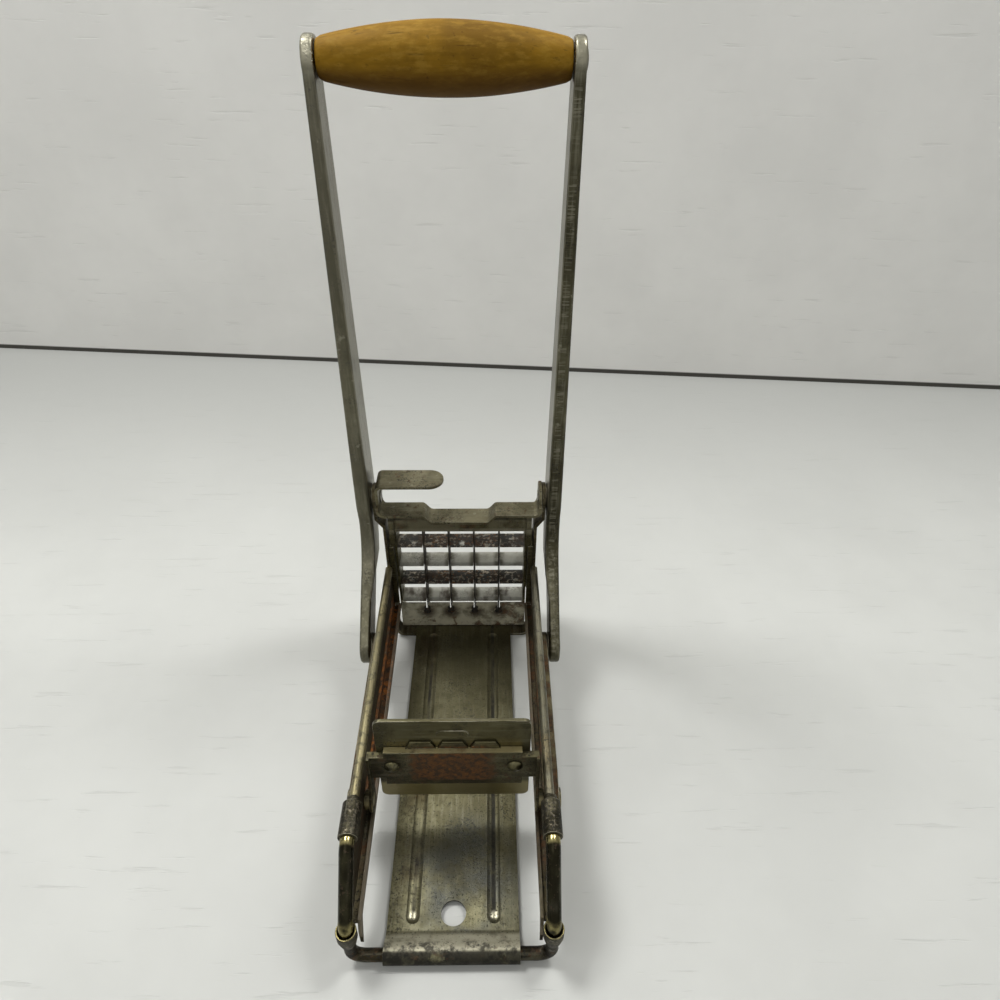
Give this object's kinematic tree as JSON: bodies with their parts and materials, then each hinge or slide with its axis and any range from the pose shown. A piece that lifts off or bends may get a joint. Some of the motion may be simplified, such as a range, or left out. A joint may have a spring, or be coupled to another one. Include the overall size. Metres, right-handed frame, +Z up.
{
  "type": "french fry cutter",
  "caption": "Hand-operated french fry cutter: an upright lever with a wooden grip drives a pusher plate along slotted rails towards a blade grid held by a swing latch.",
  "frame": {"origin": "on the table, on the centre line, half way between the rolled near edge and the back of the grip, lever upright", "axes": "+Z up; +Y from the hand end towards the blade end; +X to the right seen from the hand end"},
  "size_m": [0.0974, 0.1884, 0.285],
  "materials": {
    "tinned_plate": "worn tin plate, satin, olive-grey with rust specks",
    "aged_rail": "dull grey-brown with rust along the channel",
    "rusted_strip": "rust-brown over bare steel",
    "dark_steel": "dark pitted steel",
    "plated_rod": "worn bright plating with brassy highlights",
    "blade_steel": "ground steel with dark specks",
    "lever_steel": "dark olive-grey, lighter on the inner sides",
    "grip_wood": "amber varnish over straight grain"
  },
  "bodies": {
    "frame": {"base_plate": "tinned_plate", "foot_tube": "dark_steel", "rear_strap": "aged_rail", "side_rail_left": "aged_rail", "side_rail_right": "aged_rail", "sleeve_left": "dark_steel", "sleeve_right": "dark_steel", "end_rod_left": "plated_rod", "end_rod_right": "plated_rod", "foot_cup_left": "dark_steel", "foot_cup_right": "dark_steel", "grid_guide_left": "tinned_plate", "grid_guide_right": "tinned_plate", "grid_frame": "tinned_plate", "vertical_blades": "blade_steel", "horizontal_blades": "blade_steel", "fulcrum_rivets": "blade_steel", "fulcrum_washers": "blade_steel"},
    "handle": {"lever_bar_left": "lever_steel", "lever_bar_right": "lever_steel", "wood_grip": "grip_wood", "grip_rod": "blade_steel", "crank_rivets": "blade_steel", "crank_washers": "blade_steel"},
    "pusher": {"pusher_plate": "aged_rail", "cross_plate": "rusted_strip", "pusher_rivets": "blade_steel", "drive_pins": "blade_steel", "pin_bushes": "plated_rod"},
    "link_left": {"drive_link_left": "rusted_strip", "link_stud_left": "blade_steel"},
    "link_right": {"drive_link_right": "rusted_strip", "link_stud_right": "blade_steel"},
    "latch": {"latch": "tinned_plate"}
  },
  "joints": [
    {"name": "lever", "type": "hinge", "parent": "frame", "child": "handle", "pos_m": [0, 0.07806, 0.09], "axis": [1, 0, 0], "range_deg": [0, 94.5]},
    {"name": "pusher_slide", "type": "slide", "parent": "frame", "child": "pusher", "axis": [0, 1, 0], "range_m": [0, 0.10927]},
    {"name": "link_left_pin", "type": "hinge", "parent": "pusher", "child": "link_left", "pos_m": [-0.0409, -0.04194, 0.0275], "axis": [1, 0, 0], "range_deg": [0, 20.91]},
    {"name": "link_right_pin", "type": "hinge", "parent": "pusher", "child": "link_right", "pos_m": [0.0409, -0.04194, 0.0275], "axis": [1, 0, 0], "range_deg": [0, 20.91]},
    {"name": "latch_hinge", "type": "hinge", "parent": "frame", "child": "latch", "pos_m": [0, 0.07806, 0.09], "axis": [-1, 0, 0], "range_deg": [0, 70]}
  ],
  "couplings": [
    {"joint": "pusher_slide", "follows": "lever", "m_per_rad": 0.066191},
    {"joint": "link_left_pin", "follows": "lever", "ratio": 0.22075},
    {"joint": "link_right_pin", "follows": "lever", "ratio": 0.22075}
  ]
}
